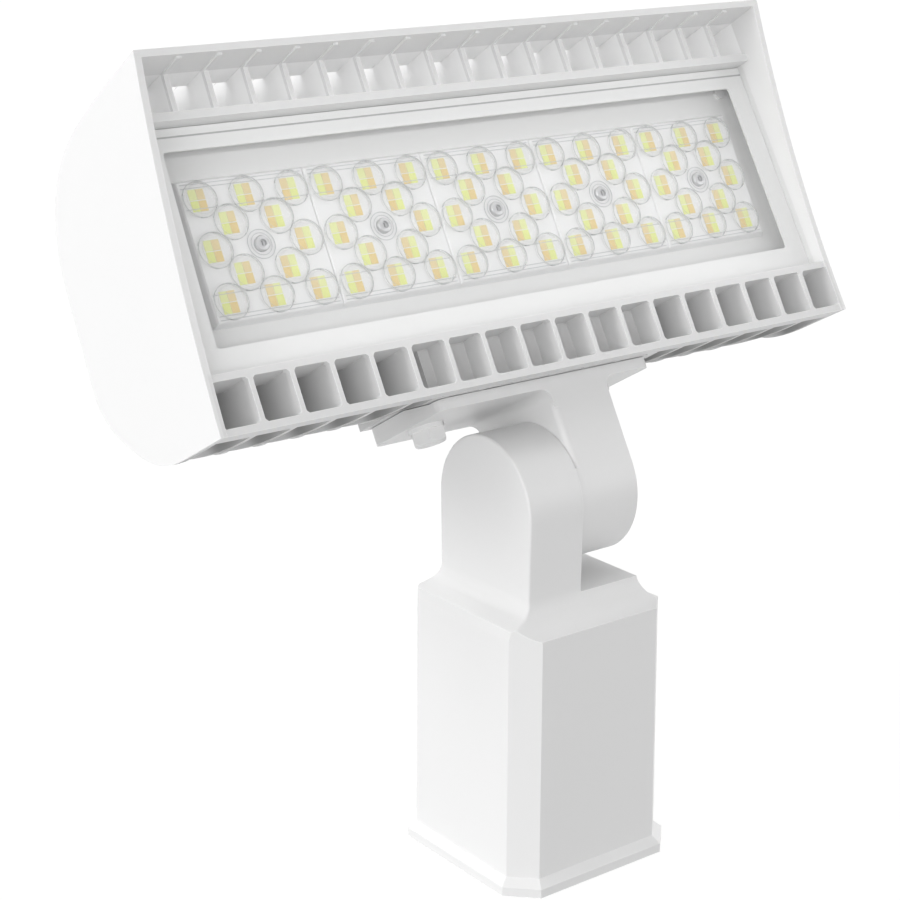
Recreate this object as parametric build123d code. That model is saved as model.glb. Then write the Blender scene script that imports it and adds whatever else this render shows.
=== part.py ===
from build123d import *
import math
import os

# Whole lamp
TILT = 30.0                 # head leans back from upright in the rest pose
ARM_R = 30.4                # round end of the arm

# Slip fitter
TENON_R = 30.15             # pole tenon the fitter takes
TENON_GAP = 0.85            # radial clearance on the tenon
BORE_DEPTH = 96.0
FIT_TOP = 42.0              # half width of the square body at its shoulder
FIT_BOTTOM = 42.7           # half width at the foot, the rest is draft
FIT_CHAMFER = 10.1
FOOT_Z = 6.6                # body meets the foot flare
LIP_Z = 4.0                 # height of the foot lip
LIP_HALF = 46.3
LIP_CHAMFER = 11.9
SHOULDER_Z = BORE_DEPTH + 18.9
PLATFORM_Z = SHOULDER_Z + 13.4
LEFT_SHOULDER_Z = SHOULDER_Z + 5.2
KNUCKLE_GAP = 5.4           # room for the arm over the platform
KNUCKLE_Z = PLATFORM_Z + KNUCKLE_GAP + ARM_R
COVE_R = 15.0
COVE_LEFT_R = 8.0
EAR_R = 31.0
EAR_OUT = -30.2             # outer face of the ear
EAR_IN = -1.65              # face towards the arm
EAR_EDGE = 1.0
SET_SCREW_R = 5.0
SET_SCREW_Z = (34.0, 74.0)
SET_SCREW_HEAD = 15.0
WIRE_R = 6.5

# Knuckle bolt
BOLT_R = 6.0
BOLT_FIT = 0.06             # radial running clearance in the arm
BOLT_FLAT = 18.0
BOLT_HEAD = 7.5
BOLT_THREAD_IN = 23.0
WASHER_R = 12.0
WASHER_T = 2.5
SPRING_R = 10.5
SPRING_T = 3.0

# Arm and flange
ARM_IN = -1.35
ARM_OUT = 29.6
ARM_EDGE = 3.2              # rounding of the arm's front edge beside the ear
FLANGE_LEFT = -58.0
FLANGE_RIGHT = 57.0
FLANGE_BACK = 71.3          # from the front of the cheeks
FLANGE_LOW = -4.4           # underside of the flange
FLANGE_FLAT = 3.3           # its raised seat at the back
FLANGE_FRONT = 0.3          # its lower front edge
FLANGE_CORNER = 5.0
STEP_FRONT = 22.0           # the slope between the two
STEP_BACK = 41.0
FLANGE_BOLT_X = 45.9
FLANGE_BOLT_W = 46.2
FLANGE_BOLT_R = 4.0
FLANGE_BOLT_FLAT = 13.4
FLANGE_BOLT_HEAD = 6.0
LOCK_R = 8.1
LOCK_T = 1.9
FLANGE_GASKET_T = 0.3
GASKET_INSET = 2.5

# Head, measured from the lower front corner of the cheeks
HEAD_U = 43.2               # lower corner above the tilt axis, along the head
HEAD_W = 45.5               # tilt axis behind the lower corner
HEAD_TALL = 148.8
HEAD_DEEP = 91.8
HALF_LOW = 168.3
HALF_TOP = 163.9
CHEEK_T = 3.0
HOOD_REACH = 14.6
HOOD_T = 2.8
HOOD_BACK = 16.5
FIN_COUNT = 17
FIN_T = 2.2
FIN_PITCH_LOW = 18.55
FIN_PITCH_TOP = 17.98
FIN_FRONT = 1.0
FIN_OVER = 1.3
LEDGE_U = 125.3             # underside of the ledge over the glass
LEDGE_T = 3.5
SILL_U = 24.4               # top of the bar under the glass
SILL_T = 2.9
PLATE_W = 18.0              # floor of the lamp chamber
PLATE_T = 3.5
LIP_T = 3.0
LIP_DEEP = 9.0
GRILLE_FRONT = 0.5
GRILLE_DEEP = 3.0
GRILLE_CORNER = 1.1
BOX_HALF = 61.6             # driver box behind the plate
BOX_BACK = 71.6
BOX_WALL = 3.0
BOX_TOP = 122.0
PAD_FRONT = 13.6
WIRE_X = 8.0

# Glazing
GLASS_T = 3.2
GLASS_W = 5.3               # front of the glass behind the cheek corner
GLASS_GAP = 0.3             # round the glass
BEZEL_GAP = 0.2
BEZEL_T = 0.8
WINDOW_LOW = SILL_U + 11.2
WINDOW_TOP = LEDGE_U - 9.7
WINDOW_SIDE = 13.7          # inset of the window from the outer face
WINDOW_CORNER = 1.5
SEAL_GAP = 0.3
SEAL_T = 1.9

# Lamp tray and modules
TRAY_T = 1.5
TRAY_GAP = 0.4
TRAY_SCREW_R = 1.5
TRAY_SCREW_IN = 6.5         # tray screws inside the edge of the tray
MODULES = 5
MODULE_PITCH = 58.9
MODULE_SIDE = 58.0
MODULE_U = 75.3
BOARD_T = 1.2
LENS_T = 1.3
LENS_PITCH = 21.1
LENS_ROW = 10.55
LENS_R = 7.45
LENS_WALL = 1.4             # straight foot of a lens
LENS_RISE = 4.3
LENS_TOP_R = 4.6
LENS_SIDES = 12
CHIP = 2.6
CHIP_STEP = 3.0
CHIP_T = 0.5
LENS_SCREW_R = 1.5
LENS_SCREW_HEAD_R = 2.7

# Driver
DRIVER_LONG = 100.0
DRIVER_TALL = 60.0
DRIVER_DEEP = 30.0
DRIVER_U = 52.0
DRIVER_EAR = 6.0
TERMINAL_LONG = 36.0
TERMINAL_TALL = 14.0
TERMINAL_DEEP = 16.0
TERMINAL_U = 30.0
LEAD = 2.0


def to_head(shape):
    # from cheek-corner axes to the pose of the whole lamp
    moved = Pos(0, -HEAD_W, HEAD_U) * shape
    return Location((0, 0, KNUCKLE_Z), (-TILT, 0, 0)) * moved


def half_at(u):
    # outer half width of the head at height u
    return HALF_LOW + (HALF_TOP - HALF_LOW) * u / HEAD_TALL


def box(x0, x1, y0, y1, z0, z1):
    return Pos((x0 + x1) / 2, (y0 + y1) / 2, (z0 + z1) / 2) * Box(x1 - x0, y1 - y0, z1 - z0)


def rod_x(r, x0, x1, y, z):
    return Pos((x0 + x1) / 2, y, z) * Rot(0, 90, 0) * Cylinder(r, x1 - x0)


def rod_y(r, y0, y1, x, z):
    return Pos(x, (y0 + y1) / 2, z) * Rot(90, 0, 0) * Cylinder(r, y1 - y0)


def rod_z(r, z0, z1, x, y):
    return Pos(x, y, (z0 + z1) / 2) * Cylinder(r, z1 - z0)


def hex_z(flat, z0, z1, x, y):
    # hexagon prism along z, measured across its flats
    sketch = RegularPolygon(flat / 2, 6, major_radius=False)
    return Pos(x, y, z0) * extrude(sketch, amount=z1 - z0)


def face_yz(lines):
    return make_face(Plane.YZ * Wire(lines))


def wire_yz(points):
    # closed outline in the depth and height plane
    return make_face(Plane.YZ * Polyline(*points, close=True))


def slab_yz(face, x0, x1):
    return Pos(x0, 0, 0) * extrude(face, amount=x1 - x0, dir=(1, 0, 0))


def band(u0, u1, inset, w0, w1):
    # plate between two heights whose ends follow the cheeks
    a = half_at(u0) - inset
    b = half_at(u1) - inset
    outline = Polyline((-a, u0), (a, u0), (b, u1), (-b, u1), close=True)
    sheet = make_face(Plane.XZ * outline)
    return Pos(0, w0, 0) * extrude(sheet, amount=w1 - w0, dir=(0, 1, 0))


def cheek_outline():
    tall = HEAD_TALL
    deep = HEAD_DEEP
    front = ThreePointArc((0, 0), (-0.23 * HOOD_REACH, tall / 2), (-HOOD_REACH, tall))
    top = Spline(
        (-HOOD_REACH, tall), (13.3, tall - 1.5), (deep - 48.0, tall - 5.1),
        (deep - 24.9, tall - 12.6), (deep - 8.0, tall - 29.3), (deep, tall - 60.8),
        tangents=((1.0, -0.03), (0, -1)),
    )
    back = Line((deep, tall - 60.8), (deep, 50.0))
    low = Spline(
        (deep, 50.0), (deep - 15.1, 19.5), (deep - 31.2, 7.5), (31.0, 0.6),
        tangents=((0, -1), (-1, -0.03)),
    )
    floor = Line((31.0, 0.6), (0, 0))
    return front, top, back, low, floor


def fin_outline():
    deep = HEAD_DEEP + FIN_OVER
    tall = HEAD_TALL + FIN_OVER
    start = HOOD_BACK + 4.5
    crown = ThreePointArc((start, tall - 1.9), (start + 24.0, tall - 5.4), (deep - 25.4, tall - 12.6))
    shoulder = ThreePointArc((deep - 25.4, tall - 12.6), (deep - 8.1, tall - 29.1), (deep, tall - 62.1))
    back = Line((deep, tall - 62.1), (deep, 34.0))
    heel = ThreePointArc((deep, 34.0), (deep - 7.1, 14.4), (deep - 27.1, 6.4))
    sole = ThreePointArc((deep - 27.1, 6.4), (deep - 54.0, 1.9), (12.0, 0.3))
    floor = Line((12.0, 0.3), (FIN_FRONT, 0.3))
    front = Line((FIN_FRONT, 0.3), (FIN_FRONT, HEAD_TALL - 3.2))
    hood = Line((FIN_FRONT, HEAD_TALL - 3.2), (HOOD_BACK - 0.5, HEAD_TALL - 3.2))
    rise = Line((HOOD_BACK - 0.5, HEAD_TALL - 3.2), (start, tall - 1.9))
    return crown, shoulder, back, heel, sole, floor, front, hood, rise


def cheeks():
    outline = slab_yz(face_yz(cheek_outline()), -180, 180)
    outer = band(-6, 155, 0, -30, 120)
    inner = band(-8, 157, CHEEK_T, -32, 122)
    return (outline & outer) - inner


def fins():
    # the fins stand on the plate and lean inwards like the cheeks
    sheet = slab_yz(face_yz(fin_outline()), -FIN_T / 2, FIN_T / 2)
    half = FIN_COUNT // 2
    plates = []
    for i in range(-half, half + 1):
        low = i * FIN_PITCH_LOW
        lean = math.degrees(math.atan2(i * (FIN_PITCH_LOW - FIN_PITCH_TOP), HEAD_TALL))
        plates.append(Pos(low, 0, 0) * Rot(0, -lean, 0) * sheet)
    return plates


def hood():
    # visor plate between the cheeks, with low ribs under it in line with the fins
    tip = -HOOD_REACH
    tall = HEAD_TALL
    outline = Polyline(
        (tip, tall), (13.3, tall - 1.5), (HOOD_BACK, tall - 1.7),
        (HOOD_BACK, tall - 3.9), (1.0, tall - 3.6), (tip + 0.55, tall - HOOD_T), close=True)
    sheet = slab_yz(make_face(Plane.YZ * outline), -180, 180)
    plate = sheet & band(tall - 9.0, tall + 6.0, 1.0, -30, 60)
    rib = slab_yz(
        wire_yz([(tip + 2.5, tall - 2.2), (1.5, tall - 2.4), (1.5, tall - 4.5), (tip + 2.5, tall - 3.8)]),
        -FIN_T / 2, FIN_T / 2)
    half = FIN_COUNT // 2
    for i in range(-half, half + 1):
        plate += Pos(i * (FIN_PITCH_TOP + 0.015), 0, 0) * rib
    return plate


def grille():
    # lower front bar with a rounded opening between every pair of fins
    sheet = band(0.0, SILL_U, 1.0, GRILLE_FRONT, GRILLE_FRONT + GRILLE_DEEP)
    tall = SILL_U - SILL_T - LIP_T
    mid = LIP_T + tall / 2
    cuts = []
    for i in range(FIN_COUNT + 1):
        x = (i - FIN_COUNT / 2) * FIN_PITCH_LOW * 0.9985
        wide = FIN_PITCH_LOW - FIN_T
        corners = Rectangle(wide, tall)
        hole = Plane.XZ * chamfer(corners.vertices(), GRILLE_CORNER)
        cuts.append(Pos(x, -1, mid) * extrude(hole, amount=GRILLE_DEEP + 3, dir=(0, 1, 0)))
    return sheet - cuts


def seat_line(w0, w1, lift):
    # profile of the flange's top and of the pad that rests on it
    return [
        (w0, FLANGE_FRONT + lift), (STEP_FRONT, FLANGE_FRONT + lift),
        (STEP_BACK, FLANGE_FLAT + lift), (w1, FLANGE_FLAT + lift),
    ]


def driver_box():
    # closed box behind the plate, standing on the pad that takes the flange
    body = box(-BOX_HALF, BOX_HALF, PLATE_W, BOX_BACK, FLANGE_FRONT, BOX_TOP)
    pad = box(-BOX_HALF, BOX_HALF, PAD_FRONT, BOX_BACK, FLANGE_FRONT, SILL_U)
    return body + pad


def under_pad():
    # room under the pad, cut through everything between the box's sides
    points = seat_line(PAD_FRONT, HEAD_DEEP + 5, FLANGE_GASKET_T)
    points += [(HEAD_DEEP + 5, -6), (PAD_FRONT, -6)]
    return slab_yz(wire_yz(points), -BOX_HALF, BOX_HALF)


def pad_low():
    return FLANGE_FLAT + FLANGE_GASKET_T


def driver_cavity():
    return box(
        -BOX_HALF + BOX_WALL, BOX_HALF - BOX_WALL, PLATE_W - 1,
        BOX_BACK - BOX_WALL, SILL_U, BOX_TOP - BOX_WALL)


def tray_screw_points():
    points = []
    for u in (tray_low() + TRAY_SCREW_IN, tray_top() - TRAY_SCREW_IN):
        side = half_at(u) - CHEEK_T - TRAY_SCREW_IN - 4.0
        points += [(-side, u), (side, u)]
    return points


def housing():
    body = cheeks()
    body += fins()
    body += driver_box()
    body += band(SILL_U - SILL_T, LEDGE_U + LEDGE_T, 1.0, PLATE_W, PLATE_W + PLATE_T)
    body += band(LEDGE_U, LEDGE_U + LEDGE_T, 1.0, FIN_FRONT - 0.4, PLATE_W + 1)
    body += band(SILL_U - SILL_T, SILL_U, 1.0, GRILLE_FRONT + 0.1, PLATE_W + 1)
    body += band(0.0, LIP_T, 1.0, GRILLE_FRONT, LIP_DEEP)
    # chamber for the lamp, open to the front
    body -= band(SILL_U, LEDGE_U, CHEEK_T, -25, PLATE_W)
    body += grille()
    body += hood()
    body -= driver_cavity()
    body -= under_pad()
    for x in (-FLANGE_BOLT_X, FLANGE_BOLT_X):
        body -= rod_z(FLANGE_BOLT_R, pad_low() - 1, pad_low() + 13, x, FLANGE_BOLT_W)
    body -= rod_z(WIRE_R, pad_low() - 1, SILL_U + 1, WIRE_X, HEAD_W)
    for x, u in tray_screw_points():
        body -= rod_y(TRAY_SCREW_R, PLATE_W - 0.5, PLATE_W + 3.0, x, u)
    return body


def glass_back():
    return GLASS_W + GLASS_T


def bezel():
    # thin white frame right behind the glass, open at the window
    w0 = glass_back() + 0.1
    rim = band(SILL_U + BEZEL_GAP, LEDGE_U - BEZEL_GAP, CHEEK_T + BEZEL_GAP, w0, w0 + BEZEL_T)
    return rim - window(w0 - 1, w0 + BEZEL_T + 1)


def window(w0, w1):
    opening = band(WINDOW_LOW, WINDOW_TOP, WINDOW_SIDE, w0, w1)
    return fillet(opening.edges().filter_by(Axis.Y), WINDOW_CORNER)


def glass():
    inset = CHEEK_T + GLASS_GAP
    return band(SILL_U + GLASS_GAP, LEDGE_U - GLASS_GAP, inset, GLASS_W, glass_back())


def bezel_back():
    return glass_back() + 0.1 + BEZEL_T


def seal():
    # rubber ring between the frame and the floor of the chamber
    gap = SEAL_GAP
    far = SEAL_GAP + SEAL_T
    outer = band(SILL_U + gap, LEDGE_U - gap, CHEEK_T + gap, bezel_back(), PLATE_W)
    hollow = band(SILL_U + far, LEDGE_U - far, CHEEK_T + far, bezel_back() - 1, PLATE_W + 1)
    return outer - hollow


def tray_inset():
    return SEAL_GAP + SEAL_T + TRAY_GAP


def tray_low():
    return SILL_U + tray_inset()


def tray_top():
    return LEDGE_U - tray_inset()


def tray_front():
    return PLATE_W - TRAY_T


def tray():
    sheet = band(tray_low(), tray_top(), CHEEK_T + tray_inset(), tray_front(), PLATE_W)
    for x, u in tray_screw_points():
        sheet -= rod_y(TRAY_SCREW_R + 0.2, tray_front() - 1, PLATE_W + 1, x, u)
    for i in range(MODULES):
        sheet -= rod_y(LENS_SCREW_R, tray_front() - 1, PLATE_W + 1, module_x(i), MODULE_U)
    return sheet


def tray_screws():
    parts = []
    for x, u in tray_screw_points():
        hexagon = Plane.XZ * RegularPolygon(2 * TRAY_SCREW_R, 6)
        head = Pos(x, tray_front() - 1.4, u) * extrude(hexagon, amount=1.4, dir=(0, 1, 0))
        shank = rod_y(TRAY_SCREW_R, tray_front(), PLATE_W + 2.9, x, u)
        parts.append(head + shank)
    return Compound(parts)


def module_x(i):
    return (i - (MODULES - 1) / 2) * MODULE_PITCH


def lens_points(i):
    # twelve places round the centre screw of a module
    x0 = module_x(i)
    rows = ((2, (-1, 0, 1)), (1, (-0.5, 0.5)), (0, (-1, 1)), (-1, (-0.5, 0.5)), (-2, (-1, 0, 1)))
    points = []
    for row, places in rows:
        for k in places:
            points.append((x0 + k * LENS_PITCH, MODULE_U + row * LENS_ROW, row, k))
    return points


def board_front():
    return tray_front() - BOARD_T


def led_board(i):
    half = MODULE_SIDE / 2
    x0 = module_x(i)
    plate = box(x0 - half, x0 + half, board_front(), tray_front(), MODULE_U - half, MODULE_U + half)
    return plate - rod_y(LENS_SCREW_R, board_front() - 1, tray_front() + 1, x0, MODULE_U)


def lens_back():
    return board_front() - CHIP_T - 0.1


def lens_front():
    return lens_back() - LENS_T


def dome():
    # one lens, a drum with a tapered top, in few flat sides because there are sixty
    rings = ((LENS_R, 0.0), (LENS_R - 0.2, LENS_WALL), (LENS_TOP_R, LENS_RISE))
    faces = [Pos(0, 0, z) * RegularPolygon(r, LENS_SIDES) for r, z in rings]
    return Rot(90, 0, 0) * loft(faces, ruled=True)


def lens_plate(i):
    half = MODULE_SIDE / 2
    x0 = module_x(i)
    plate = box(x0 - half, x0 + half, lens_front(), lens_back(), MODULE_U - half, MODULE_U + half)
    wall = box(x0 - half, x0 + half, lens_back(), board_front(), MODULE_U - half, MODULE_U + half)
    inner = half - 1.0
    wall -= box(x0 - inner, x0 + inner, lens_back() - 1, board_front() + 1,
                MODULE_U - inner, MODULE_U + inner)
    cap = dome()
    lenses = [Pos(x, lens_front(), u) * cap for x, u, row, k in lens_points(i)]
    boss = rod_y(5.0, lens_front() - 0.7, board_front(), x0, MODULE_U)
    plate = plate + wall + lenses + boss
    return plate - rod_y(LENS_SCREW_R, lens_front() - 3, board_front() + 1, x0, MODULE_U)


def lens_screws():
    parts = []
    for i in range(MODULES):
        head = rod_y(LENS_SCREW_HEAD_R, lens_front() - 2.4, lens_front() - 0.7, module_x(i), MODULE_U)
        shank = rod_y(LENS_SCREW_R, lens_front() - 0.7, PLATE_W, module_x(i), MODULE_U)
        parts.append(head + shank)
    return Compound(parts)


def chips(left_side):
    # a tall pair of chips on one side under every lens
    parts = []
    tall = CHIP_STEP + CHIP
    for i in range(MODULES):
        for x, u, row, k in lens_points(i):
            cx = x + (-0.5 if left_side else 0.5) * CHIP_STEP
            parts.append(box(cx - CHIP / 2, cx + CHIP / 2, board_front() - CHIP_T,
                             board_front(), u - tall / 2, u + tall / 2))
    return Compound(parts)


def box_inside():
    return BOX_BACK - BOX_WALL


def driver():
    back = box_inside()
    u0 = DRIVER_U
    half = DRIVER_LONG / 2
    mid = u0 + DRIVER_TALL / 2
    body = box(-half, half, back - DRIVER_DEEP, back, u0, u0 + DRIVER_TALL)
    ears = box(-half - DRIVER_EAR, half + DRIVER_EAR, back - 2, back, mid - 10, mid + 10)
    return body + ears


def terminal_places():
    step = TERMINAL_LONG / 3
    return [-2.0 + k * step for k in (-1, 0, 1)]


def terminal():
    back = box_inside()
    half = TERMINAL_LONG / 2
    mid = TERMINAL_U + TERMINAL_TALL / 2
    body = box(-2 - half, -2 + half, back - TERMINAL_DEEP, back, TERMINAL_U, TERMINAL_U + TERMINAL_TALL)
    for x in terminal_places():
        body -= box(x - 3, x + 3, back - TERMINAL_DEEP - 1, back - TERMINAL_DEEP + 4, mid - 3, mid + 3)
    return body


def leads():
    # supply leads from the terminal to the hole in the pad
    back = box_inside() - TERMINAL_DEEP
    mid = TERMINAL_U + TERMINAL_TALL / 2
    parts = []
    for x in terminal_places():
        path = Polyline((x, back + 3, mid), (x, back - 3, mid), (x * 0.3 + WIRE_X, HEAD_W + 1, mid - 8))
        parts.append(sweep_square(path, LEAD))
    return Compound(parts)


def sweep_square(path, side):
    start = path.edges()[0]
    frame = Plane(origin=start @ 0, z_dir=start % 0)
    return sweep(frame * Rectangle(side, side), path=path, transition=Transition.RIGHT)


def grommet():
    ring = rod_z(WIRE_R - 0.1, pad_low() + 4, SILL_U + 1.5, WIRE_X, HEAD_W)
    return ring - rod_z(WIRE_R - 2.6, pad_low(), SILL_U + 2, WIRE_X, HEAD_W)


def gasket():
    # thin flat gasket on the raised seat of the flange
    u0 = FLANGE_FLAT
    u1 = pad_low()
    edge = GASKET_INSET
    sheet = box(FLANGE_LEFT + edge, FLANGE_RIGHT - edge, STEP_BACK + 0.5, FLANGE_BACK - edge, u0, u1)
    for x in (-FLANGE_BOLT_X, FLANGE_BOLT_X):
        sheet -= rod_z(FLANGE_BOLT_R + 0.3, u0 - 1, u1 + 1, x, FLANGE_BOLT_W)
    return sheet - rod_z(WIRE_R, u0 - 1, u1 + 1, WIRE_X, HEAD_W)


def arm_blank():
    # round end and post, its back edge leaning in to the flange
    top = HEAD_U + FLANGE_LOW + 1.0
    back = FLANGE_BACK - HEAD_W
    post = wire_yz([(-ARM_R, 0), (ARM_R, 0), (back, top), (-ARM_R, top)])
    body = slab_yz(post, ARM_IN, ARM_OUT) + rod_x(ARM_R, ARM_IN, ARM_OUT, 0, 0)
    # the front edge beside the ear is rounded and runs out under the flange
    r = ARM_EDGE
    end = top - 9.0
    corner = box(ARM_IN - 1, ARM_IN + r, -ARM_R - 1, -ARM_R + r, 3.0, top)
    corner -= rod_z(r, 2.0, top + 1, ARM_IN + r, -ARM_R + r)
    runout = wire_yz([(-ARM_R - 2, 0), (-ARM_R + r + 1, 0), (-ARM_R + r + 1, end + r), (-ARM_R - 2, end - 3)])
    return body - (corner & slab_yz(runout, ARM_IN - 2, ARM_IN + r + 1))


def arm():
    # drawn round the tilt axis, upright
    low = HEAD_U + FLANGE_LOW
    top = HEAD_U + FLANGE_FLAT
    outline = [(w - HEAD_W, HEAD_U + u) for w, u in seat_line(HEAD_W - ARM_R, FLANGE_BACK, 0.0)]
    outline += [(FLANGE_BACK - HEAD_W, low), (-ARM_R, low)]
    plate = slab_yz(wire_yz(outline), FLANGE_LEFT, FLANGE_RIGHT)
    plate = fillet(plate.edges().filter_by(Axis.Z), FLANGE_CORNER)
    body = arm_blank() + plate
    roots = body.edges().filter_by(Axis.Y).filter_by_position(Axis.Z, low - 0.1, low + 0.1)
    inner = [e for e in roots if ARM_IN - 1 < e.center().X < ARM_OUT + 1]
    body = fillet(inner, 5.0)
    body -= rod_x(BOLT_R + BOLT_FIT, ARM_IN - 1, ARM_OUT + 1, 0, 0)
    body -= rod_x(17.0, ARM_IN - 1, ARM_IN + 6, 0, 0) - rod_x(11.0, ARM_IN - 2, ARM_IN + 7, 0, 0)
    body -= rod_z(WIRE_R, 12.0, top + 1, WIRE_X, 0)
    for x in (-FLANGE_BOLT_X, FLANGE_BOLT_X):
        body -= rod_z(FLANGE_BOLT_R + 0.3, low - 1, top + 1, x, FLANGE_BOLT_W - HEAD_W)
    return Location((0, 0, KNUCKLE_Z), (-TILT, 0, 0)) * body


def flange_bolts():
    parts = []
    seat = FLANGE_LOW - LOCK_T
    foot = seat - FLANGE_BOLT_HEAD
    for x in (-FLANGE_BOLT_X, FLANGE_BOLT_X):
        head = hex_z(FLANGE_BOLT_FLAT, foot, seat, x, FLANGE_BOLT_W)
        trim = Pos(x, FLANGE_BOLT_W, foot) * Cone(
            FLANGE_BOLT_FLAT * 0.47, FLANGE_BOLT_FLAT * 0.97, FLANGE_BOLT_HEAD,
            align=(Align.CENTER, Align.CENTER, Align.MIN))
        shank = rod_z(FLANGE_BOLT_R, seat, pad_low() + 12, x, FLANGE_BOLT_W)
        parts.append((head & trim) + shank)
    return Compound(parts)


def flange_washers():
    # split lock washers, the split shows at the front
    parts = []
    seat = FLANGE_LOW - LOCK_T
    for x in (-FLANGE_BOLT_X, FLANGE_BOLT_X):
        ring = rod_z(LOCK_R, seat, FLANGE_LOW, x, FLANGE_BOLT_W)
        ring -= rod_z(FLANGE_BOLT_R + 0.2, seat - 1, FLANGE_LOW + 1, x, FLANGE_BOLT_W)
        split = Rot(0, 0, -58) * Box(2 * LOCK_R, 1.2, 3 * LOCK_T, align=(Align.MIN, Align.CENTER, Align.CENTER))
        parts.append(ring - Pos(x, FLANGE_BOLT_W, seat) * split)
    return Compound(parts)


def tapered_square(h0, c0, z0, h1, c1, z1):
    faces = []
    for h, c, z in ((h0, c0, z0), (h1, c1, z1)):
        outline = Polyline(
            (-h, -h + c), (-h + c, -h), (h - c, -h), (h, -h + c),
            (h, h - c), (h - c, h), (-h + c, h), (-h, h - c), close=True)
        faces.append(Pos(0, 0, z) * make_face(outline))
    return loft(faces, ruled=True)


def fitter_side():
    # outline across the lamp: ear on the left, platform on the right
    right_c = FIT_TOP + 2.7
    cove_top = PLATFORM_Z + 2.6
    z_end = cove_top - math.sqrt(COVE_R ** 2 - (right_c - FIT_TOP) ** 2)
    ang = math.radians(38)
    mid = (right_c - COVE_R * math.cos(ang), cove_top - COVE_R * math.sin(ang))
    z_start = PLATFORM_Z
    x_start = right_c - math.sqrt(COVE_R ** 2 - (cove_top - z_start) ** 2)
    left_c = EAR_OUT - COVE_LEFT_R
    left_top = LEFT_SHOULDER_Z + 10.0
    lines = [
        Line((-60, 0), (60, 0)),
        Line((60, 0), (60, z_end)),
        Line((60, z_end), (FIT_TOP, z_end)),
        ThreePointArc((FIT_TOP, z_end), mid, (x_start, z_start)),
        Line((x_start, z_start), (EAR_IN, z_start)),
        Line((EAR_IN, z_start), (EAR_IN, KNUCKLE_Z + 40)),
        Line((EAR_IN, KNUCKLE_Z + 40), (EAR_OUT, KNUCKLE_Z + 40)),
        Line((EAR_OUT, KNUCKLE_Z + 40), (EAR_OUT, left_top)),
        ThreePointArc(
            (EAR_OUT, left_top),
            (left_c + COVE_LEFT_R * math.cos(math.radians(36)), left_top - COVE_LEFT_R * math.sin(math.radians(36))),
            (left_c + COVE_LEFT_R * math.cos(math.radians(70)), left_top - COVE_LEFT_R * math.sin(math.radians(70)))),
    ]
    end = (left_c + COVE_LEFT_R * math.cos(math.radians(70)), left_top - COVE_LEFT_R * math.sin(math.radians(70)))
    lines += [
        Line(end, (-FIT_TOP + 0.7, LEFT_SHOULDER_Z)),
        Line((-FIT_TOP + 0.7, LEFT_SHOULDER_Z), (-FIT_TOP - 0.1, SHOULDER_Z)),
        Line((-FIT_TOP - 0.1, SHOULDER_Z), (-60, SHOULDER_Z)),
        Line((-60, SHOULDER_Z), (-60, 0)),
    ]
    sheet = make_face(Plane.XZ * Wire(lines))
    return Pos(0, -80, 0) * extrude(sheet, amount=160, dir=(0, 1, 0))


def fitter_front():
    # outline along the lamp: coves at front and back, round ear on top
    c = FIT_TOP + 3.4
    top = PLATFORM_Z + 2.6
    z_end = top - math.sqrt(COVE_R ** 2 - (c - FIT_TOP) ** 2)
    ang = math.radians(40)
    lines = []
    for s in (-1, 1):
        arc = ThreePointArc(
            (s * FIT_TOP, z_end),
            (s * (c - COVE_R * math.cos(ang)), top - COVE_R * math.sin(ang)),
            (s * (c - COVE_R), top))
        lines += [arc, Line((s * 60, z_end), (s * FIT_TOP, z_end)), Line((s * 60, 0), (s * 60, z_end))]
    edge = c - COVE_R
    lines += [
        Line((-60, 0), (60, 0)),
        Line((-edge, top), (-EAR_R, KNUCKLE_Z)),
        Line((edge, top), (EAR_R, KNUCKLE_Z)),
        ThreePointArc((-EAR_R, KNUCKLE_Z), (0, KNUCKLE_Z + EAR_R), (EAR_R, KNUCKLE_Z)),
    ]
    sheet = make_face(Plane.YZ * Wire(lines))
    return slab_yz(sheet, -80, 80)


def slip_fitter():
    column = tapered_square(FIT_BOTTOM, FIT_CHAMFER, FOOT_Z, FIT_TOP, FIT_CHAMFER, SHOULDER_Z)
    grow = (FIT_BOTTOM - FIT_TOP) / (SHOULDER_Z - FOOT_Z)
    high = KNUCKLE_Z + EAR_R + 2
    half_high = FIT_TOP - grow * (high - SHOULDER_Z)
    column += tapered_square(FIT_TOP, FIT_CHAMFER, SHOULDER_Z, half_high, FIT_CHAMFER, high)
    body = column & fitter_side() & fitter_front()
    lip = tapered_square(LIP_HALF, LIP_CHAMFER, 0, LIP_HALF - 0.1, LIP_CHAMFER, LIP_Z)
    flare = tapered_square(LIP_HALF - 0.1, LIP_CHAMFER, LIP_Z, FIT_BOTTOM, FIT_CHAMFER, FOOT_Z + 0.6)
    body = body + lip + flare
    rim = [e for e in body.edges() if e.center().Z > KNUCKLE_Z - 30 and abs(e.center().X - EAR_OUT) < 0.05]
    body = fillet([e for e in rim if e.center().Z > PLATFORM_Z + 4], EAR_EDGE)
    body -= rod_z(TENON_R + TENON_GAP, -1, BORE_DEPTH, 0, 0)
    body -= rod_x(BOLT_R, EAR_IN - BOLT_THREAD_IN, EAR_IN + 1, 0, KNUCKLE_Z)
    body -= rod_x(17.0, EAR_IN - 6, EAR_IN + 1, 0, KNUCKLE_Z) - rod_x(11.0, EAR_IN - 7, EAR_IN + 2, 0, KNUCKLE_Z)
    body -= rod_z(4.0, BORE_DEPTH - 1, KNUCKLE_Z - 12, EAR_IN - 6.2, 0)
    for z in SET_SCREW_Z:
        body -= rod_y(SET_SCREW_R, TENON_R - 2, 60, 0, z)
    return body


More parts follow.
